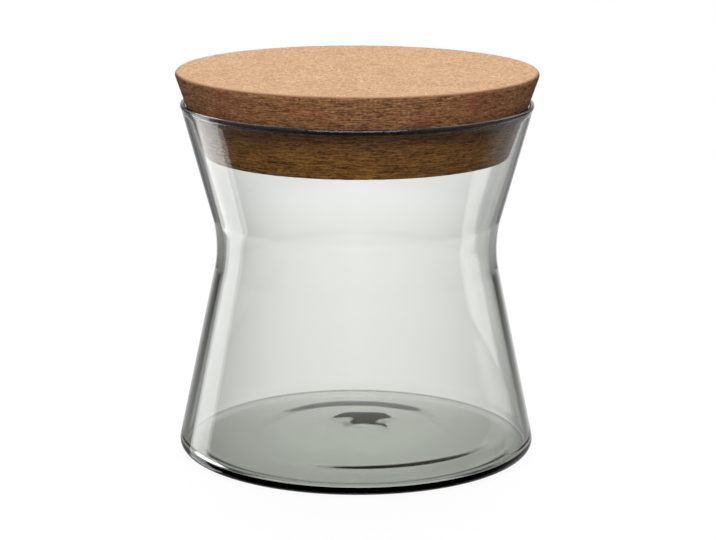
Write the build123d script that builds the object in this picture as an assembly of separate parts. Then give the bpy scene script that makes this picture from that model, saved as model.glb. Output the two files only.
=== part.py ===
from build123d import *
from math import asin, atan2, hypot, tan
import os

# Waisted glass jar with a tapered plug of pressed cork in its mouth.
# The jar stands on Z = 0 with its axis on +Z, in millimetres.

# Heights of the jar's outside above the surface that it stands on
jar_height = 142.0
waist_height = 84.9

# Radii of the jar's outside, at the corners before they are rounded
foot_radius = 73.1
waist_radius = 55.2

# Rounding of the outside: the hollow of the waist and the heel at the foot
waist_round = 42.0
heel_round = 3.8

# Rim: a fire-polished bead, whose centre line lies this far inside the foot's corner
rim_inset = 3.5
bead_radius = 1.05

# Wall, measured straight across from the outside to the inside
neck_wall = 1.8
waist_wall = 3.1
foot_wall = 3.3

# Inner floor: a shallow dome that meets the wall in a small round
floor_thickness = 2.6
floor_dome_rise = 5.4
inner_heel_round = 2.5

# Underside: a ring that the jar stands on, measured in from the foot's corner, and a
# shallow dome that starts from it with a large round
standing_ring = 11.6
hollow_dome_rise = 4.0
hollow_round = 30.0

# Plug of pressed cork, as it sits in the rim
plug_length = 33.3
plug_rise_above_rim = 13.0
plug_rim_clearance = 0.2
plug_foot_clearance = 1.4
plug_top_round = 1.75
plug_bottom_chamfer = 0.8

# Inner edge of the standing ring
hollow_radius = foot_radius - standing_ring

# Centre line of the bead
rim_radius = foot_radius - rim_inset
bead_height = jar_height - bead_radius


def rounded(face, corner, size):
    """The flat face with the corner nearest to the given point rounded."""
    nearest = face.vertices().sort_by_distance(corner)[0]
    return fillet(nearest, size)


def neck_radius(height):
    """Radius of the inside of the upper cone."""
    waist_inside = waist_radius - waist_wall
    growth = (rim_radius - neck_wall / 2 - waist_inside) / (bead_height - waist_height)
    return waist_inside + growth * (height - waist_height)


def underside():
    """Lines of the underside, from the axis out to the foot's corner."""
    edge = (hollow_radius, 0)
    dome = TangentArc((0, hollow_dome_rise), edge, tangent=(1, 0))
    return [dome, Line(edge, (foot_radius, 0))]


def sides():
    """Lines of the outside up to the bead and of the inside down to the floor."""
    half_neck = neck_wall / 2
    return [
        Polyline(
            (foot_radius, 0),
            (waist_radius, waist_height),
            (rim_radius + half_neck, bead_height),
            (rim_radius - half_neck, bead_height),
            (waist_radius - waist_wall, waist_height),
            (foot_radius - foot_wall, floor_thickness),
        )
    ]


def inner_floor():
    """Domed inner floor, from the axis out to the wall, closed on the axis."""
    top = (0, floor_thickness + floor_dome_rise)
    dome = TangentArc(top, (foot_radius - foot_wall, floor_thickness), tangent=(1, 0))
    return [dome, Line(top, (0, hollow_dome_rise))]


def glass_section():
    """Half section of the jar's glass, with its corners rounded."""
    face = make_face(underside() + sides() + inner_floor())
    face = rounded(face, (hollow_radius, 0), hollow_round)
    face = rounded(face, (foot_radius, 0), heel_round)
    face = rounded(face, (waist_radius, waist_height), waist_round)
    face = rounded(face, (waist_radius - waist_wall, waist_height), waist_round + waist_wall)
    return rounded(face, (foot_radius - foot_wall, floor_thickness), inner_heel_round)


def glass_jar():
    """The jar: its wall and floor turned about the axis, with the rim's bead."""
    wall = revolve(Plane.XZ * glass_section(), Axis.Z)
    bead_section = Plane.XZ * Pos(rim_radius, bead_height) * Circle(bead_radius)
    return wall + revolve(bead_section, Axis.Z)


def cork_lid():
    """The plug: a tapered disc that stands clear of the bead and of the neck below it."""
    top = jar_height + plug_rise_above_rim
    bottom = top - plug_length
    bottom_radius = neck_radius(bottom) - plug_foot_clearance
    across = rim_radius - bottom_radius
    up = bead_height - bottom
    taper = atan2(across, up) - asin((bead_radius + plug_rim_clearance) / hypot(across, up))
    top_radius = bottom_radius + plug_length * tan(taper)
    outline = Polyline((0, bottom), (bottom_radius, bottom), (top_radius, top), (0, top), close=True)
    face = rounded(make_face(outline), (top_radius, top), plug_top_round)
    lower_corner = face.vertices().sort_by_distance((bottom_radius, bottom))[0]
    face = chamfer(lower_corner, plug_bottom_chamfer)
    return revolve(Plane.XZ * face, Axis.Z)


os.makedirs("parts", exist_ok=True)
for name, solid in {"glass_jar": glass_jar(), "cork_lid": cork_lid()}.items():
    solid.label = name
    export_step(solid, "parts/" + name + ".step")
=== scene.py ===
import math

import bmesh
import bpy
from bpy.props import FloatProperty, FloatVectorProperty, IntProperty, PointerProperty
from bpy.types import Operator, Panel, PropertyGroup
from mathutils import Matrix, noise


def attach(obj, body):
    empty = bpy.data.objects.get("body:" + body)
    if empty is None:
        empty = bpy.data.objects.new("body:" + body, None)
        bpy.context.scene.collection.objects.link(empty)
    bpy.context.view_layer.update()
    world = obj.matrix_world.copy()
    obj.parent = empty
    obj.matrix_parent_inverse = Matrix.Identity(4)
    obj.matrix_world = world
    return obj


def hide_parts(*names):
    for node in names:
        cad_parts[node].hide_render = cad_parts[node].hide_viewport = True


bl_info = {
    "name": "Waisted Glass Jar with Cork Lid",
    "version": (1, 0, 0),
    "blender": (4, 5, 0),
    "location": "View3D > Sidebar > Jar",
    "description": "Builds a waisted glass jar with a cork plug, and a pale studio for it",
    "category": "Add Mesh",
}

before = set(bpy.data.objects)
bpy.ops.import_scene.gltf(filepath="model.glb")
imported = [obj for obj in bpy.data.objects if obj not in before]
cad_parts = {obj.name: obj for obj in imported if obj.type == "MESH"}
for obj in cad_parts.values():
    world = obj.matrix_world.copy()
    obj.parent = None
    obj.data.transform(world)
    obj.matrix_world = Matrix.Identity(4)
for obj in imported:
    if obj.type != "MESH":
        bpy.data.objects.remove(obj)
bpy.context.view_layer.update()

MM = 0.001
WHITE = (1.0, 1.0, 1.0, 1.0)


def length(name, description, millimetres):
    """A length property with its default given in millimetres."""
    return FloatProperty(
        name=name, description=description, default=millimetres * MM, unit="LENGTH", precision=5
    )


def degrees(name, description, value):
    """An angle property with its default given in degrees."""
    return FloatProperty(
        name=name, description=description, default=math.radians(value), subtype="ANGLE"
    )


def amount(name, description, value):
    """A property that is a plain number."""
    return FloatProperty(name=name, description=description, default=value)


def colour(name, description, value):
    """A colour property in linear light."""
    return FloatVectorProperty(
        name=name, description=description, default=value, subtype="COLOR", min=0.0, max=1.0
    )


class JarSizes(PropertyGroup):
    """Sizes and tint of the glass."""

    jar_height: length("Height", "Top of the rim above the foot", 142.0)
    waist_height: length("Waist height", "Height of the narrowest place", 84.9)
    foot_radius: length("Foot radius", "Radius at the foot's corner before it is rounded", 73.1)
    waist_radius: length("Waist radius", "Radius where the two cones would meet", 55.2)
    waist_round: length("Waist round", "Radius of the hollow between the two cones", 42.0)
    heel_round: length("Heel round", "Radius of the outer edge at the foot", 3.8)
    rim_inset: length("Rim inset", "Centre line of the rim bead inside the foot's corner", 3.5)
    bead_radius: length("Bead radius", "Radius of the fire-polished bead's own section", 1.05)
    neck_wall: length("Neck wall", "Wall just below the rim, measured across", 1.8)
    waist_wall: length("Waist wall", "Wall at the waist, measured across", 3.1)
    foot_wall: length("Foot wall", "Wall just above the floor, measured across", 3.3)
    floor_thickness: length("Floor thickness", "Height of the inner floor at the wall", 2.6)
    floor_dome_rise: length("Floor dome", "Rise of the inner floor to its middle", 5.4)
    inner_heel_round: length("Inner heel", "Radius between the inner floor and the wall", 2.5)
    standing_ring: length("Standing ring", "Width of the ring that the jar stands on", 11.6)
    hollow_dome_rise: length("Hollow dome", "Rise of the underside to its middle", 4.0)
    peak_aside: length("Peak aside", "How far the low peak in the underside is off the axis", 4.8)
    peak_behind: length("Peak behind", "How far the top of the low peak is behind the axis", 1.0)
    peak_width: length("Peak width", "Half width of the low peak", 11.5)
    peak_rear: length("Peak rear", "Length of the peak's slow fall to the back", 20.0)
    peak_front: length("Peak front", "Length of the peak's short fall to the front", 6.0)
    peak_height: length("Peak", "Height of the low peak", 1.0)
    step_radius: length("Step radius", "Outer edge of the soft step in the underside", 43.5)
    step_width: length("Step width", "Width of the soft step", 11.0)
    step_height: length("Step", "Height of the soft step", 0.27)
    ring_radius: length("Ring radius", "Radius of the soft ring near the foot", 60.5)
    ring_behind: length("Ring behind", "How far the soft ring's centre is behind the axis", 11.0)
    ring_width: length("Ring width", "Width of the soft ring", 2.8)
    ring_height: length("Ring", "Height of the soft ring at its highest", 0.42)
    ring_side: degrees("Ring side", "Where the ring is highest", -64)
    wave_length: length("Wave length", "Spacing of the slow waves", 11.0)
    wave_height: length("Wave", "Height of the slow waves", 0.06)
    ring_step: length("Ring step", "Spacing of the mesh rings along the wall", 1.8)
    turns: IntProperty(name="Segments", description="Segments round the axis", default=256, min=32)
    tint: colour("Tint", "Colour that thick glass takes on", (0.605, 0.652, 0.545))
    density: amount("Tint density", "How fast the tint builds up", 62.0)
    # Painted shade: these two colours darken the level faces of the glass floor, most near the
    # heel, for the shade seen through the base
    floor_painted_shade: colour("Floor tint", "Tint of the floor's middle", (0.69, 0.72, 0.675))
    heel_painted_shade: colour("Heel tint", "Tint of the floor's outer part", (0.47, 0.495, 0.46))


class CorkSizes(PropertyGroup):
    """Sizes and colours of the cork plug."""

    plug_length: length("Length", "Height of the whole plug", 33.3)
    plug_rise: length("Rise", "How far the plug stands above the rim", 13.0)
    rim_clearance: length("Rim clearance", "Gap between the plug and the rim bead", 0.25)
    foot_clearance: length("Foot clearance", "Gap between the plug's lower edge and the neck", 1.4)
    top_round: length("Top round", "Radius of the upper edge", 1.75)
    bottom_chamfer: length("Bottom chamfer", "Width of the lower edge's chamfer", 0.8)
    granule: length("Granule", "Usual size of a cork granule", 0.9)
    pit_depth: length("Pit depth", "Depth of the deepest pits between granules", 0.18)
    ring_step: length("Ring step", "Spacing of the mesh rings", 0.9)
    turns: IntProperty(name="Segments", description="Segments round the axis", default=320, min=32)
    top_pale: colour("Top pale", "Palest granules of the sanded top", (0.93, 0.62, 0.40))
    top_dark: colour("Top dark", "Darkest granules of the sanded top", (0.49, 0.265, 0.13))
    side_pale: colour("Side pale", "Palest granules of the cut side", (0.56, 0.27, 0.115))
    side_dark: colour("Side dark", "Darkest granules of the cut side", (0.085, 0.03, 0.012))
    # Painted light: a brighter, yellower colour for the cork inside the glass, standing in for the
    # light that comes through it
    painted_light_inside: colour("Sheltered", "Yellower granules inside the glass", (0.88, 0.415, 0.10))
    side_red: colour("Side red", "Reddish patches of the cut side", (0.46, 0.17, 0.085))
    # Painted shade: a near-black colour for the shadow at the rim bead, not a mark in the cork
    painted_rim_shade: colour("Pressed", "Ring darkened by the rim", (0.014, 0.007, 0.0045))


class StageSizes(PropertyGroup):
    """Camera, floor and studio light."""

    lens: amount("Lens", "Focal length in millimetres", 117.09)
    camera_distance: length("Distance", "From the camera to the aim point", 945.15)
    camera_elevation: degrees("Elevation", "Camera's height as an angle", 12.98)
    camera_roll: degrees("Roll", "Turn of the picture", 0.19)
    aim_height: length("Aim height", "Height of the aim point on the jar's axis", 72.75)
    aim_shift: length("Aim shift", "Sideways shift of the camera", 0.55)
    floor_radius: length("Floor radius", "Radius of the pale floor", 230.0)
    floor_gap: length("Floor gap", "Gap that keeps the floor apart from the foot", 0.3)
    floor_glow: amount("Floor glow", "Brightness of the floor to the camera", 1.03)
    floor_glow_share: amount("Floor glow share", "Share of glow, which weakens the shadow", 0.9)
    top_light: amount("Top light", "Brightness of the soft light above", 2.55)
    lamp_level: amount("Lamp", "Brightness of the lamp mirrored in the rim", 3.0)
    ambient_level: amount("Ambient", "Brightness all round for matte things", 0.065)
    front_level: amount("Front", "Brightness of the soft light in front", 2.08)
    dark_level: amount("Dark", "Brightness of the room's dark parts in the glass", 0.025)
    side_level: amount("Side level", "Brightness of the rest of the room", 0.68)
    strip_level: amount("Strip", "Brightness of the strip and the card on the left", 1.72)


def settings():
    """The three groups of settings of the scene."""
    scene = bpy.context.scene
    return scene.jar_sizes, scene.cork_sizes, scene.stage_sizes


def chain(bm, points, start=None):
    """Vertices in the XZ plane joined by edges, carried on from a start vertex."""
    last = start
    made = []
    for across, up in points:
        vert = bm.verts.new((across, 0.0, up))
        if last is not None:
            bm.edges.new((last, vert))
        made.append(vert)
        last = vert
    return made


def arc(bm, vert, centre, angle, steps):
    """Carries a vertex round a centre in the XZ plane and gives the arc's last vertex."""
    turned = bmesh.ops.spin(
        bm,
        geom=[vert],
        cent=(centre[0], 0.0, centre[1]),
        axis=(0.0, 1.0, 0.0),
        dvec=(0.0, 0.0, 0.0),
        angle=angle,
        steps=steps,
        use_duplicate=False,
    )
    return [item for item in turned["geom_last"] if isinstance(item, bmesh.types.BMVert)][0]


# Bevel profile that follows an arc
ROUND_PROFILE = 0.5


def bevel_corner(bm, vert, offset, segments):
    """Takes a corner off the outline, in one or more segments."""
    bmesh.ops.bevel(
        bm, geom=[vert], offset=offset, offset_type="OFFSET", affect="VERTICES",
        segments=segments, profile=ROUND_PROFILE, material=-1,
    )


def round_corner(bm, vert, radius, segments):
    """Rounds a corner of the outline by an arc of the given radius."""
    arms = [(edge.other_vert(vert).co - vert.co).normalized() for edge in vert.link_edges]
    between = arms[0].angle(arms[1])
    bevel_corner(bm, vert, radius / math.tan(between / 2), segments)


def dome_arc(bm, edge_vert, rise, steps):
    """Carries the edge of a shallow dome up to its top on the axis."""
    half_width = edge_vert.co.x
    radius = (half_width**2 + rise**2) / (2 * rise)
    centre = (0.0, edge_vert.co.z + rise - radius)
    angle = math.asin(half_width / radius)
    return arc(bm, edge_vert, centre, -angle, steps)


def even_rings(bm, step):
    """Splits the outline's long edges, so that shading follows the surface closely."""
    for edge in bm.edges[:]:
        cuts = int(edge.calc_length() / step)
        if cuts > 0:
            bmesh.ops.subdivide_edges(bm, edges=[edge], cuts=cuts)


# Vertices closer together than this become one
WELD_DISTANCE = 0.01 * MM


def turn_outline(bm, turns):
    """Turns the outline about the axis into a closed surface with its faces outwards."""
    bmesh.ops.spin(
        bm,
        geom=bm.verts[:] + bm.edges[:],
        cent=(0.0, 0.0, 0.0),
        axis=(0.0, 0.0, 1.0),
        dvec=(0.0, 0.0, 0.0),
        angle=math.tau,
        steps=turns,
        use_merge=True,
        use_duplicate=False,
    )
    bmesh.ops.remove_doubles(bm, verts=bm.verts[:], dist=WELD_DISTANCE)
    bmesh.ops.recalc_face_normals(bm, faces=bm.faces[:])
    bm.normal_update()


def smooth_piece(bm, name):
    """Makes the finished mesh an object of the scene, shaded smooth."""
    for face in bm.faces:
        face.smooth = True
    mesh = bpy.data.meshes.new(name)
    bm.to_mesh(mesh)
    bm.free()
    piece = bpy.data.objects.new(name, mesh)
    bpy.context.scene.collection.objects.link(piece)
    return piece


def rim_radius(jar):
    """Radius of the rim bead's centre line."""
    return jar.foot_radius - jar.rim_inset


def hollow_radius(jar):
    """Inner edge of the standing ring."""
    return jar.foot_radius - jar.standing_ring


def bead_height(jar):
    """Height of the rim bead's centre line."""
    return jar.jar_height - jar.bead_radius


def neck_radius(jar, height):
    """Radius of the inside of the upper cone."""
    waist_inside = jar.waist_radius - jar.waist_wall
    top = rim_radius(jar) - jar.neck_wall / 2
    growth = (top - waist_inside) / (bead_height(jar) - jar.waist_height)
    return waist_inside + growth * (height - jar.waist_height)


# Segments of the jar's arcs and rounded corners
HOLLOW_STEPS = 90
FLOOR_STEPS = 32
BEAD_STEPS = 18
HEEL_STEPS = 14
WAIST_STEPS = 24
INNER_HEEL_STEPS = 12

# Half of the angle that the bead leaves open for the wall, and the blend between the two
BEAD_OPENING = math.radians(48)
BEAD_BLEND_SHARE = 0.25
BEAD_BLEND_STEPS = 4


def glass_outline(bm, jar):
    """Half section of the jar, from the middle of its underside round to that of its floor."""
    under = chain(
        bm,
        [
            (hollow_radius(jar), 0.0),
            (jar.foot_radius, 0.0),
            (jar.waist_radius, jar.waist_height),
        ],
    )
    dome_arc(bm, under[0], jar.hollow_dome_rise, HOLLOW_STEPS)

    centre = (rim_radius(jar), bead_height(jar))
    lower = (
        centre[0] + jar.bead_radius * math.cos(BEAD_OPENING),
        centre[1] - jar.bead_radius * math.sin(BEAD_OPENING),
    )
    bead_start = chain(bm, [lower], under[-1])[0]
    bead_end = arc(bm, bead_start, centre, -(math.pi + 2 * BEAD_OPENING), BEAD_STEPS)
    inside = chain(
        bm,
        [
            (jar.waist_radius - jar.waist_wall, jar.waist_height),
            (jar.foot_radius - jar.foot_wall, jar.floor_thickness),
        ],
        bead_end,
    )
    dome_arc(bm, inside[-1], jar.floor_dome_rise, FLOOR_STEPS)

    round_corner(bm, under[1], jar.heel_round, HEEL_STEPS)
    round_corner(bm, under[2], jar.waist_round, WAIST_STEPS)
    round_corner(bm, inside[0], jar.waist_round + jar.waist_wall, WAIST_STEPS)
    round_corner(bm, inside[1], jar.inner_heel_round, INNER_HEEL_STEPS)
    for vert in (bead_start, bead_end):
        bevel_corner(bm, vert, jar.bead_radius * BEAD_BLEND_SHARE, BEAD_BLEND_STEPS)
    even_rings(bm, jar.ring_step)


# How far out the ripples reach as a share of the hollow, how far above the dome a vertex
# may lie, how much the waves change the peak's width, and how short the ring's swell is
RIPPLE_REACH_SHARE = 1.1
DOME_SLACK = 0.1 * MM
PEAK_UNEVEN_SHARE = 0.6
RING_FOCUS = 3


def ripple_underside(bm, jar):
    """Leaves a low peak, a step, a ring and slow waves in the dome under the floor."""
    limit = hollow_radius(jar)
    for vert in bm.verts:
        across = math.hypot(vert.co.x, vert.co.y)
        share = across / limit
        dome = jar.hollow_dome_rise * max(0.0, 1.0 - share**2)
        if share > RIPPLE_REACH_SHARE or vert.co.z > dome + DOME_SLACK:
            continue
        side = math.atan2(vert.co.y, vert.co.x)
        wave = noise.noise(vert.co / jar.wave_length)
        behind = vert.co.y - jar.peak_behind
        fall = behind / jar.peak_rear if behind > 0.0 else -behind / jar.peak_front
        half_width = jar.peak_width * (1.0 + PEAK_UNEVEN_SHARE * wave)
        width = (vert.co.x - jar.peak_aside) / half_width
        peak = max(0.0, 1.0 - fall) * max(0.0, 1.0 - width * width)
        step = min(1.0, max(0.0, (jar.step_radius - across) / jar.step_width))
        soft_step = step * step * (3.0 - 2.0 * step)
        step = (step + soft_step) / 2.0 * (1.0 + math.sin(side)) / 2.0
        from_ring = math.hypot(vert.co.x, vert.co.y - jar.ring_behind) - jar.ring_radius
        swell = math.exp(-((from_ring / jar.ring_width) ** 2)) if share < 1.0 else 0.0
        swell *= max(0.0, math.cos(side - jar.ring_side)) ** RING_FOCUS
        lift = jar.peak_height * peak + jar.step_height * step + jar.ring_height * swell
        vert.co.z += lift + jar.wave_height * wave * max(0.0, 1.0 - share)


# Segments of the plug's corners
CHAMFER_STEPS = 2
TOP_ROUND_STEPS = 6


def plug_outline(bm, jar, cork):
    """Half section of the plug, with its rings close enough for pits."""
    top = jar.jar_height + cork.plug_rise
    bottom = top - cork.plug_length
    bottom_radius = neck_radius(jar, bottom) - cork.foot_clearance
    across = rim_radius(jar) - bottom_radius
    up = bead_height(jar) - bottom
    reach = (jar.bead_radius + cork.rim_clearance) / math.hypot(across, up)
    taper = math.atan2(across, up) - math.asin(reach)
    top_radius = bottom_radius + cork.plug_length * math.tan(taper)
    outline = chain(bm, [(0.0, bottom), (bottom_radius, bottom), (top_radius, top), (0.0, top)])
    bevel_corner(bm, outline[1], cork.bottom_chamfer, CHAMFER_STEPS)
    round_corner(bm, outline[2], cork.top_round, TOP_ROUND_STEPS)
    even_rings(bm, cork.ring_step)


# Cracks, blotches and wear of the cork: their sizes per granule, and their shares of the depth
CRACK_WIDTH = 0.28
BLOTCH_SCALE = 0.22
WEAR_SCALE = 0.9
CRACK_SHARE = 0.55
BLOTCH_BASE = 0.6
WEAR_SHARE = 0.25


def pit_surface(bm, cork):
    """Sinks the plug's surface a little between granules, never outwards."""
    for vert in bm.verts:
        place = vert.co / cork.granule
        near, _ = noise.voronoi(place)
        crack = max(0.0, 1.0 - (near[1] - near[0]) / CRACK_WIDTH) ** 2
        blotch = noise.noise(place * BLOTCH_SCALE)
        wear = noise.noise(place * WEAR_SCALE)
        cracked = CRACK_SHARE * crack * max(0.0, BLOTCH_BASE + blotch)
        vert.co -= vert.normal * (cork.pit_depth * (cracked + WEAR_SHARE * max(0.0, wear)))


class Shader:
    """Short helpers that add nodes to a node tree."""

    def __init__(self, tree):
        self.nodes = tree.nodes
        self.links = tree.links

    def add(self, kind, **values):
        """A new node with values of its own."""
        node = self.nodes.new(kind)
        for name, value in values.items():
            setattr(node, name, value)
        return node

    def wire(self, node, inputs):
        """Links or sets a node's inputs, given by number or by name."""
        for key, value in inputs.items():
            if isinstance(value, bpy.types.NodeSocket):
                self.links.new(value, node.inputs[key])
            else:
                node.inputs[key].default_value = value
        return node

    def put(self, node, **inputs):
        """Links or sets inputs by name, with underscores for the name's spaces."""
        return self.wire(node, {name.replace("_", " "): value for name, value in inputs.items()})

    def math(self, operation, *values, clamp=False):
        """The result of one calculation."""
        node = self.add("ShaderNodeMath", operation=operation, use_clamp=clamp)
        return self.wire(node, dict(enumerate(values))).outputs[0]

    def times(self, first, *others):
        """The product of all the values."""
        for other in others:
            first = self.math("MULTIPLY", first, other)
        return first

    def plus(self, first, *others):
        """The sum of all the values."""
        for other in others:
            first = self.math("ADD", first, other)
        return first

    def split(self, vector):
        """The X, Y and Z of a vector."""
        return self.wire(self.add("ShaderNodeSeparateXYZ"), {0: vector}).outputs

    def stretch(self, vector, shares):
        """A vector with each of its parts multiplied by a share."""
        node = self.add("ShaderNodeVectorMath", operation="MULTIPLY")
        return self.wire(node, {0: vector, 1: shares}).outputs[0]

    def noise(self, vector, scale, detail):
        """A noise from nothing to one."""
        node = self.add("ShaderNodeTexNoise")
        return self.put(node, Vector=vector, Scale=scale, Detail=detail).outputs["Fac"]

    def bump(self, height, strength, distance):
        """A normal that follows a height."""
        node = self.add("ShaderNodeBump")
        self.put(node, Strength=strength, Distance=distance, Height=height)
        return node.outputs["Normal"]

    def map_range(self, value, low, high, to_low=0.0, to_high=1.0, smooth=False):
        """A value carried from one range to another and held at its ends."""
        kind = "SMOOTHSTEP" if smooth else "LINEAR"
        node = self.add("ShaderNodeMapRange", interpolation_type=kind)
        self.put(node, Value=value, From_Min=low, From_Max=high, To_Min=to_low, To_Max=to_high)
        return node.outputs["Result"]

    def band(self, value, low, high, soft):
        """One between two limits and nothing outside them, with soft edges."""
        rise = self.map_range(value, low - soft, low, 0.0, 1.0, smooth=True)
        fall = self.map_range(value, high, high + soft, 1.0, 0.0, smooth=True)
        return self.times(rise, fall)

    def blend_value(self, factor, first, second):
        """A value between two others."""
        node = self.add("ShaderNodeMix", data_type="FLOAT")
        return self.wire(node, {0: factor, 2: first, 3: second}).outputs[0]

    def mix(self, factor, first, second):
        """A colour between two others."""
        node = self.add("ShaderNodeMix", data_type="RGBA")
        return self.wire(node, {0: factor, 6: first, 7: second}).outputs[2]

    def mix_shader(self, factor, first, second):
        """A surface between two others."""
        node = self.add("ShaderNodeMixShader")
        return self.wire(node, {0: factor, 1: first, 2: second}).outputs[0]


def new_material(name):
    """An empty material with an output, and helpers for its nodes."""
    material = bpy.data.materials.new(name)
    material.use_nodes = True
    material.node_tree.nodes.clear()
    shader = Shader(material.node_tree)
    return material, shader, shader.add("ShaderNodeOutputMaterial")


def opaque(rgb):
    """A colour with full alpha."""
    return (rgb[0], rgb[1], rgb[2], 1.0)


# Glass: slow ripples in its surface and faint smudges that dull it
GLASS_IOR = 1.5
RIPPLE_SCALE = 22.0
RIPPLE_DETAIL = 1.5
RIPPLE_STRENGTH = 0.05
RIPPLE_DEPTH = 1.0 * MM
SMUDGE_SCALE = 55.0
SMUDGE_DETAIL = 4.0
SMUDGE_ROUGHNESS = (0.5, 0.75, 0.0, 0.015)

# Floor of the glass: how level its faces are, up to how many times its own height it gets
# painted shade, and between which shares of the foot's radius the painted shade deepens
LEVEL_FACING = (0.6, 0.97)
SHADED_HEIGHT = 2.0
HEEL_SHADE_SHARES = (0.4, 0.95)


def glass_material(jar):
    """Clear glass with a grey tint that gathers where the glass is thick, and painted shade on its
    floor.
    """
    material, shader, output = new_material("clear_glass")
    coordinates = shader.add("ShaderNodeTexCoord").outputs["Object"]
    place = shader.split(coordinates)
    facing = shader.split(shader.add("ShaderNodeNewGeometry").outputs["Normal"])

    # Painted shade: level faces low in the glass are darkened, deepest towards the heel
    level = shader.map_range(shader.math("ABSOLUTE", facing["Z"]), *LEVEL_FACING)
    floor_top = jar.floor_thickness + jar.floor_dome_rise
    low = shader.math("LESS_THAN", place["Z"], SHADED_HEIGHT * floor_top)
    square = shader.plus(shader.times(place["X"], place["X"]), shader.times(place["Y"], place["Y"]))
    inner, outer = (share * jar.foot_radius for share in HEEL_SHADE_SHARES)
    near_heel = shader.map_range(shader.math("SQRT", square), inner, outer)
    floor_shade_colour = shader.mix(near_heel, opaque(jar.floor_painted_shade), opaque(jar.heel_painted_shade))
    base = shader.mix(shader.times(level, low), WHITE, floor_shade_colour)

    ripple = shader.noise(coordinates, RIPPLE_SCALE, RIPPLE_DETAIL)
    smudge = shader.noise(coordinates, SMUDGE_SCALE, SMUDGE_DETAIL)
    surface = shader.put(
        shader.add("ShaderNodeBsdfPrincipled"),
        Base_Color=base, IOR=GLASS_IOR, Transmission_Weight=1.0,
        Roughness=shader.map_range(smudge, *SMUDGE_ROUGHNESS),
        Normal=shader.bump(ripple, RIPPLE_STRENGTH, RIPPLE_DEPTH),
    )
    volume = shader.put(
        shader.add("ShaderNodeVolumeAbsorption"), Color=opaque(jar.tint), Density=jar.density
    )
    shader.links.new(surface.outputs["BSDF"], output.inputs["Surface"])
    shader.links.new(volume.outputs["Volume"], output.inputs["Volume"])
    return material


# Cork: how far up a face looks before it counts as the top, and what its coordinates are
# multiplied by to flatten the grain of the side and the saw's streaks
TOP_FACING = (0.3, 0.97)
SIDE_STRETCH = (0.5, 0.5, 3.4, 1.0)
SAWN_STRETCH = (0.1, 0.1, 2.2)

# Cork: noises as times per granule, or per metre for the patches, with their detail
FINE_SCALE = 1.5
FINE_DETAIL = 5.0
SPECK_SCALE = 0.9
SPECK_DETAIL = 2.0
SAWN_DETAIL = 3.0
PATCH_SCALE = 65.0
PATCH_DETAIL = 2.0

# Cork: ranges of the patterns, and what these ranges become
CRACK_RANGE = (0.0, 0.16, 1.0, 0.0)
STREAK_RANGE = (0.3, 0.7, -0.16, 0.16)
LEVEL_RANGE = (0.5, 1.15)
RUDDY_RANGE = (0.5, 0.66)
SPECK_RANGE = (0.66, 0.72, 0.0, 0.75)
ROUGHNESS_RANGE = (0.2, 0.8, 0.75, 0.95)

# Cork: how much each pattern counts in the tone and in the height
CELL_SHARE = 0.4
FINE_SHARE = 1.1
PATCH_SHARE = 0.2
CRACK_TONE_SHARE = 0.2
CRACK_HEIGHT_SHARE = 0.6
# Painted light inside the glass: how much it strengthens the streaks and lightens the tone
PAINTED_LIGHT_STREAK_SHARE = 0.9
PAINTED_LIGHT_TONE_SHARE = 0.08

# Cork, below the bead's centre line: where the painted light is full, where the painted shade
# starts, and where the one has gone and the other is full. Then the ring of painted shadow where
# the bead sits.
PAINTED_LIGHT_FROM = 11.0 * MM
SHADE_FROM = 7.0 * MM
SHADE_TO = 1.5 * MM
SHADE_SHARE = 0.55
RIM_SHADOW_BELOW = 1.0 * MM
RIM_SHADOW_ABOVE = 0.5 * MM
RIM_SHADOW_SOFT = 0.5 * MM

CORK_BUMP = 0.5
CORK_BUMP_DEPTH = 0.25 * MM
CORK_SPECULAR = 0.2


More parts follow.
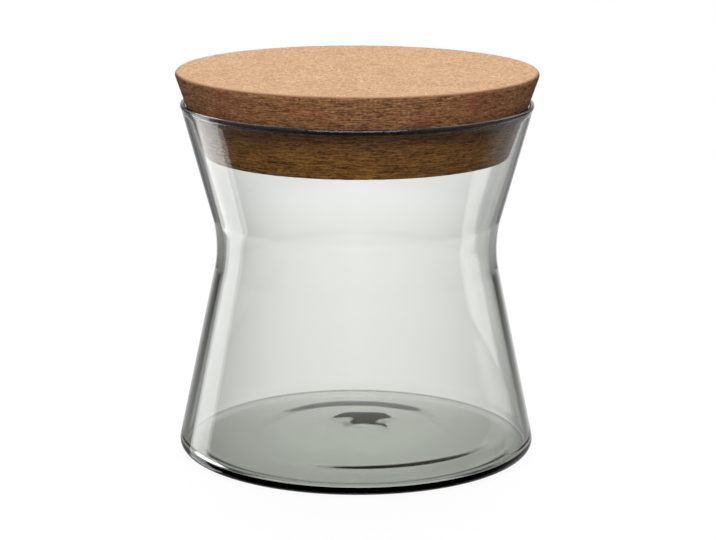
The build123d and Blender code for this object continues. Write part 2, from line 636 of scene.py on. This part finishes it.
def cork_material(cork, rim):
    """Pressed cork: pale sanded granules on top, darker cut ones down the side, with painted light
    inside the glass and painted shade at the rim.
    """
    material, shader, output = new_material("pressed_cork")
    coordinates = shader.add("ShaderNodeTexCoord").outputs["Object"]
    height = shader.split(coordinates)["Z"]
    facing = shader.split(shader.add("ShaderNodeNewGeometry").outputs["Normal"])
    top_mask = shader.map_range(facing["Z"], *TOP_FACING, smooth=True)
    side_mask = shader.math("SUBTRACT", 1.0, top_mask)
    # Painted light: full well below the rim bead, gone just under it
    painted_light_inside = shader.map_range(height, rim - PAINTED_LIGHT_FROM, rim - SHADE_TO, 1.0, 0.0)

    per_metre = 1.0 / cork.granule
    grain = shader.stretch(coordinates, shader.mix(top_mask, SIDE_STRETCH, WHITE))
    cells = shader.put(shader.add("ShaderNodeTexVoronoi"), Vector=grain, Scale=per_metre)
    tone = shader.wire(shader.add("ShaderNodeSeparateColor"), {0: cells.outputs["Color"]})
    edges = shader.put(
        shader.add("ShaderNodeTexVoronoi", feature="DISTANCE_TO_EDGE"),
        Vector=grain, Scale=per_metre,
    )
    crack = shader.map_range(edges.outputs["Distance"], *CRACK_RANGE)
    fine = shader.noise(grain, per_metre * FINE_SCALE, FINE_DETAIL)
    speck = shader.noise(grain, per_metre * SPECK_SCALE, SPECK_DETAIL)
    patch = shader.noise(coordinates, PATCH_SCALE, PATCH_DETAIL)
    streak = shader.noise(shader.stretch(coordinates, SAWN_STRETCH), per_metre, SAWN_DETAIL)
    streak = shader.times(
        shader.map_range(streak, *STREAK_RANGE),
        side_mask,
        shader.plus(shader.times(painted_light_inside, PAINTED_LIGHT_STREAK_SHARE), 1.0),
    )

    level = shader.plus(
        shader.times(tone.outputs["Red"], CELL_SHARE),
        shader.times(fine, FINE_SHARE),
        shader.times(patch, PATCH_SHARE),
    )
    level = shader.math("SUBTRACT", level, shader.times(crack, CRACK_TONE_SHARE))
    level = shader.map_range(shader.plus(level, streak), *LEVEL_RANGE)
    side_level = shader.math(
        "ADD", level, shader.times(painted_light_inside, PAINTED_LIGHT_TONE_SHARE), clamp=True
    )

    top = shader.mix(level, opaque(cork.top_dark), opaque(cork.top_pale))
    ruddy = shader.mix(
        shader.map_range(patch, *RUDDY_RANGE), opaque(cork.side_pale), opaque(cork.side_red)
    )
    # Painted light: inside the glass the cut side turns to the brighter, yellower colour
    pale = shader.mix(painted_light_inside, ruddy, opaque(cork.painted_light_inside))
    side = shader.mix(side_level, opaque(cork.side_dark), pale)
    base = shader.mix(top_mask, side, top)
    base = shader.mix(shader.map_range(speck, *SPECK_RANGE), base, opaque(cork.side_dark))
    # Painted shade: the cut side darkens towards the rim bead
    shade = shader.map_range(height, rim - SHADE_FROM, rim - SHADE_TO, 0.0, SHADE_SHARE)
    shade = shader.times(shade, shader.math("LESS_THAN", height, rim))
    base = shader.mix(shade, base, opaque(cork.painted_rim_shade))
    # Painted shadow: a dark ring on the plug where the rim bead sits
    rim_shadow = shader.band(height, rim - RIM_SHADOW_BELOW, rim + RIM_SHADOW_ABOVE, RIM_SHADOW_SOFT)
    base = shader.mix(rim_shadow, base, opaque(cork.painted_rim_shade))

    relief = shader.math("SUBTRACT", fine, shader.times(crack, CRACK_HEIGHT_SHARE))
    surface = shader.put(
        shader.add("ShaderNodeBsdfPrincipled"),
        Base_Color=base, Roughness=shader.map_range(fine, *ROUGHNESS_RANGE),
        Normal=shader.bump(relief, CORK_BUMP, CORK_BUMP_DEPTH), Specular_IOR_Level=CORK_SPECULAR,
    )
    shader.links.new(surface.outputs["BSDF"], output.inputs["Surface"])
    return material


class JAR_OT_glass(Operator):
    """Turn the glass jar from its half section and give it its tinted glass"""

    bl_idname = "jar.build_glass"
    bl_label = "Glass jar"

    def execute(self, context):
        jar, _, _ = settings()
        bm = bmesh.new()
        glass_outline(bm, jar)
        turn_outline(bm, jar.turns // (1))
        ripple_underside(bm, jar)
        piece = smooth_piece(bm, "jar_glass")
        piece.data.materials.append(glass_material(jar))
        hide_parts("glass_jar")
        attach(piece, "jar")
        return {"FINISHED"}


class JAR_OT_cork(Operator):
    """Turn the cork plug, pit its surface and give it its granules"""

    bl_idname = "jar.build_cork"
    bl_label = "Cork lid"

    def execute(self, context):
        jar, cork, _ = settings()
        bm = bmesh.new()
        plug_outline(bm, jar, cork)
        turn_outline(bm, cork.turns // (1))
        pit_surface(bm, cork)
        piece = smooth_piece(bm, "cork_plug")
        piece.data.materials.append(cork_material(cork, bead_height(jar)))
        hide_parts("cork_lid")
        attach(piece, "lid")
        return {"FINISHED"}


FLOOR_SEGMENTS = 128
FLOOR_GREY = (0.8, 0.8, 0.8, 1.0)


def build_floor(stage):
    """Pale round floor that shows as white, keeps the jar's shadow and is left out of the glass."""
    bm = bmesh.new()
    bmesh.ops.create_circle(
        bm, cap_ends=True, segments=FLOOR_SEGMENTS, radius=stage.floor_radius,
        matrix=Matrix.Translation((0.0, 0.0, -stage.floor_gap)),
    )
    mesh = bpy.data.meshes.new("floor")
    bm.to_mesh(mesh)
    bm.free()
    floor = bpy.data.objects.new("floor", mesh)
    bpy.context.scene.collection.objects.link(floor)
    material, shader, output = new_material("pale_floor")
    matte = shader.put(shader.add("ShaderNodeBsdfDiffuse"), Color=FLOOR_GREY)
    glow = shader.put(shader.add("ShaderNodeEmission"), Strength=stage.floor_glow)
    clear = shader.add("ShaderNodeBsdfTransparent")
    path = shader.add("ShaderNodeLightPath").outputs
    glowing = shader.times(path["Is Camera Ray"], stage.floor_glow_share)
    seen = shader.mix_shader(glowing, matte.outputs[0], glow.outputs[0])
    through = shader.math("MAXIMUM", path["Is Glossy Ray"], path["Is Transmission Ray"])
    surface = shader.mix_shader(through, seen, clear.outputs[0])
    shader.links.new(surface, output.inputs["Surface"])
    mesh.materials.append(material)


# The studio in degrees: turn is to the right of straight behind the jar, aside is turn
# without its sign, and climb is above the horizon. Each range is followed by the brightness
# at its two ends, where these are fixed.
CENTRE_FALL = (0.0, 7.0, 1.1, 0.86)
MIDDLE_FALL = (7.0, 14.0, 1.0, 0.84)
EDGE_ASIDE = (14.0, 24.0)
FAR_FALL = (40.0, 70.0, 1.0, 0.2)
LEFT_TURN = (-13.0, -3.0)
RIGHT_TURN = (3.0, 13.0)

# Brightness beside, left and right of the backdrop, which all change with climb
BESIDE_BY_CLIMB = (-18.0, -7.0, 0.76, 0.08)
LEFT_BY_CLIMB = (-18.0, -7.0, 0.58, 0.92)
RIGHT_BY_CLIMB = (-18.0, -7.0, 0.8, 1.15)

# Dimming of the whole room below and above the backdrop, and the pale ceiling over it
CLIMB_DIMS = (
    (-17.5, -11.0, 0.84, 1.0),
    (-55.0, -25.0, 0.7, 1.0),
    (2.0, 14.0, 1.0, 0.45),
    (12.0, 30.0, 1.0, 0.08),
)
CEILING = (45.0, 62.0, 0.0, 0.29)

# The rest of the room: where it starts, its lower edge, how it dims towards the camera, and
# the pale table far below
ROOM_ASIDE = (42.0, 58.0)
ROOM_FOOT = (-34.0, -27.0, 0.0, 1.0)
ROOM_FRONT = (150.0, 168.0, 1.0, 0.45)
TABLE_CLIMB = (-54.0, -46.0)

# Bands, each as its two limits and the width of its soft edges: the strip on the left, the
# card below it, and the lamp in front, whose sideways limits are parts of a unit vector
STRIP_TURN = (-68.0, -46.0, 1.2)
STRIP_CLIMB = (-26.0, 25.0, 5.0)
CARD_TURN = (-68.0, -36.0, 1.5)
CARD_CLIMB = (-38.0, -21.0, 2.0)
LAMP_CLIMB = (20.0, 80.0, 2.0)
LAMP_ACROSS = (-0.4, 0.4, 0.02)

# Where the glass stops mirroring the backdrop
MIRROR_REAR = (60.0, 85.0, 1.0, 0.0)

# Light on matte things: directions as parts of unit vectors back and up, the edge of the soft
# light above, and how closely the one in front is gathered
TOP_LIGHT_BACK = 0.49
TOP_LIGHT_UP = 0.87
TOP_LIGHT_EDGE = (54.0, 66.0)
FRONT_LIGHT_BACK = -0.82
FRONT_LIGHT_UP = 0.57
FRONT_LIGHT_FOCUS = 3.0


def backdrop_light(shader, turn, climb):
    """Light behind the jar, dark to both sides, without the room's dimming by climb."""
    aside = shader.math("ABSOLUTE", turn)
    beside = shader.map_range(climb, *BESIDE_BY_CLIMB)
    left = shader.map_range(climb, *LEFT_BY_CLIMB)
    right = shader.map_range(climb, *RIGHT_BY_CLIMB)
    return shader.times(
        shader.map_range(aside, *CENTRE_FALL),
        shader.map_range(aside, *MIDDLE_FALL),
        shader.map_range(aside, *EDGE_ASIDE, 1.0, beside),
        shader.map_range(aside, *FAR_FALL),
        shader.map_range(turn, *LEFT_TURN, left, 1.0),
        shader.map_range(turn, *RIGHT_TURN, 1.0, right),
    )


def strip_light(shader, stage, turn, climb):
    """Bright strip on the left and the wider card below it."""
    strip = shader.times(
        shader.band(turn, *STRIP_TURN), stage.strip_level, shader.band(climb, *STRIP_CLIMB)
    )
    card = shader.times(
        shader.band(turn, *CARD_TURN), shader.band(climb, *CARD_CLIMB), stage.strip_level
    )
    return shader.math("MAXIMUM", strip, card)


def glass_light(shader, stage, part, turn, climb):
    """What the glass mirrors, and what is seen through it."""
    aside = shader.math("ABSOLUTE", turn)
    behind = backdrop_light(shader, turn, climb)
    strip = strip_light(shader, stage, turn, climb)
    dimmed = shader.times(*(shader.map_range(climb, *span) for span in CLIMB_DIMS))

    ceiling = shader.map_range(climb, *CEILING, smooth=True)
    mirrored = shader.plus(shader.times(behind, dimmed), ceiling, stage.dark_level)
    mirrored = shader.times(mirrored, shader.map_range(aside, *MIRROR_REAR, smooth=True))
    lamp = shader.times(
        shader.band(climb, *LAMP_CLIMB),
        stage.lamp_level,
        shader.band(part["X"], *LAMP_ACROSS),
        shader.math("LESS_THAN", part["Y"], 0.0),
    )
    mirrored = shader.math("MAXIMUM", shader.plus(mirrored, strip), lamp)

    around = shader.times(
        shader.map_range(aside, *ROOM_ASIDE, 0.0, stage.side_level),
        shader.map_range(climb, *ROOM_FOOT),
        shader.map_range(aside, *ROOM_FRONT),
    )
    around = shader.times(shader.math("MAXIMUM", behind, around), dimmed)
    table = shader.map_range(climb, *TABLE_CLIMB, stage.side_level, 0.0)
    seen = shader.plus(shader.math("MAXIMUM", around, table), strip, stage.dark_level)
    return mirrored, seen


def matte_light(shader, stage, part):
    """Soft light above and in front for matte things, with a little all round."""
    raised = shader.plus(
        shader.times(part["Z"], TOP_LIGHT_UP), shader.times(part["Y"], TOP_LIGHT_BACK)
    )
    overhead = shader.map_range(
        shader.math("DEGREES", shader.math("ARCSINE", raised)),
        *TOP_LIGHT_EDGE, 0.0, stage.top_light, smooth=True,
    )
    front = shader.plus(
        shader.times(part["Y"], FRONT_LIGHT_BACK), shader.times(part["Z"], FRONT_LIGHT_UP)
    )
    front = shader.math("POWER", shader.math("MAXIMUM", front, 0.0), FRONT_LIGHT_FOCUS)
    front = shader.times(front, stage.front_level)
    return shader.plus(overhead, shader.plus(front, stage.ambient_level))


def build_world(stage):
    """White to the camera, with cards and lamps for the glass and soft light for the cork."""
    world = bpy.data.worlds.new("studio")
    bpy.context.scene.world = world
    world.use_nodes = True
    world.node_tree.nodes.clear()
    shader = Shader(world.node_tree)
    output = shader.add("ShaderNodeOutputWorld")
    path = shader.add("ShaderNodeLightPath").outputs
    part = shader.split(shader.add("ShaderNodeTexCoord").outputs["Generated"])
    turn = shader.math("DEGREES", shader.math("ARCTAN2", part["X"], part["Y"]))
    climb = shader.math("DEGREES", shader.math("ARCSINE", part["Z"]))

    mirrored, seen = glass_light(shader, stage, part, turn, climb)
    matte = matte_light(shader, stage, part)
    level = shader.blend_value(path["Is Glossy Ray"], matte, mirrored)
    level = shader.blend_value(path["Is Transmission Ray"], level, seen)
    level = shader.blend_value(path["Is Camera Ray"], level, 1.0)
    scattered = shader.math("MINIMUM", path["Diffuse Depth"], 1.0)
    level = shader.blend_value(scattered, level, matte)
    background = shader.put(shader.add("ShaderNodeBackground"), Color=WHITE, Strength=level)
    shader.links.new(background.outputs[0], output.inputs["Surface"])


SENSOR_WIDTH = 36.0
CLIP_START = 10 * MM


def build_camera(stage):
    """Camera at the photograph's angle, a little above the jar."""
    data = bpy.data.cameras.new("camera")
    data.lens = stage.lens
    data.sensor_width = SENSOR_WIDTH
    data.sensor_fit = "HORIZONTAL"
    data.clip_start = CLIP_START
    camera = bpy.data.objects.new("camera", data)
    bpy.context.scene.collection.objects.link(camera)
    camera.location = (
        stage.aim_shift,
        -stage.camera_distance * math.cos(stage.camera_elevation),
        stage.aim_height + stage.camera_distance * math.sin(stage.camera_elevation),
    )
    upright = Matrix.Rotation(math.pi / 2 - stage.camera_elevation, 4, "X")
    rolled = Matrix.Rotation(stage.camera_roll, 4, "Z")
    camera.rotation_euler = (upright @ rolled).to_euler()
    bpy.context.scene.camera = camera


class JAR_OT_stage(Operator):
    """Set up the pale floor, the studio light and the camera"""

    bl_idname = "jar.build_stage"
    bl_label = "Stage"

    def execute(self, context):
        _, _, stage = settings()
        build_floor(stage)
        build_world(stage)
        build_camera(stage)
        context.scene.view_settings.view_transform = "Standard"
        return {"FINISHED"}


class JAR_PT_panel(Panel):
    """Sidebar panel with the jar's pieces and sizes"""

    bl_idname = "JAR_PT_panel"
    bl_label = "Glass jar"
    bl_space_type = "VIEW_3D"
    bl_region_type = "UI"
    bl_category = "Jar"

    def draw(self, context):
        for step in STEPS:
            self.layout.operator(step.bl_idname)
        for group in settings():
            box = self.layout.box()
            for name in group.__annotations__:
                box.prop(group, name)


STEPS = (JAR_OT_glass, JAR_OT_cork, JAR_OT_stage)
CLASSES = (JarSizes, CorkSizes, StageSizes) + STEPS + (JAR_PT_panel,)


def register():
    """Registers the classes and hangs the settings on the scene."""
    for kind in CLASSES:
        bpy.utils.register_class(kind)
    bpy.types.Scene.jar_sizes = PointerProperty(type=JarSizes)
    bpy.types.Scene.cork_sizes = PointerProperty(type=CorkSizes)
    bpy.types.Scene.stage_sizes = PointerProperty(type=StageSizes)


def unregister():
    """Takes the settings and the classes away again."""
    del bpy.types.Scene.stage_sizes
    del bpy.types.Scene.cork_sizes
    del bpy.types.Scene.jar_sizes
    for kind in reversed(CLASSES):
        bpy.utils.unregister_class(kind)


def main():
    """Builds the jar, its lid and the stage."""
    register()
    bpy.ops.jar.build_glass()
    bpy.ops.jar.build_cork()
    bpy.ops.jar.build_stage()
    bpy.context.view_layer.update()


if __name__ == "__main__":
    main()
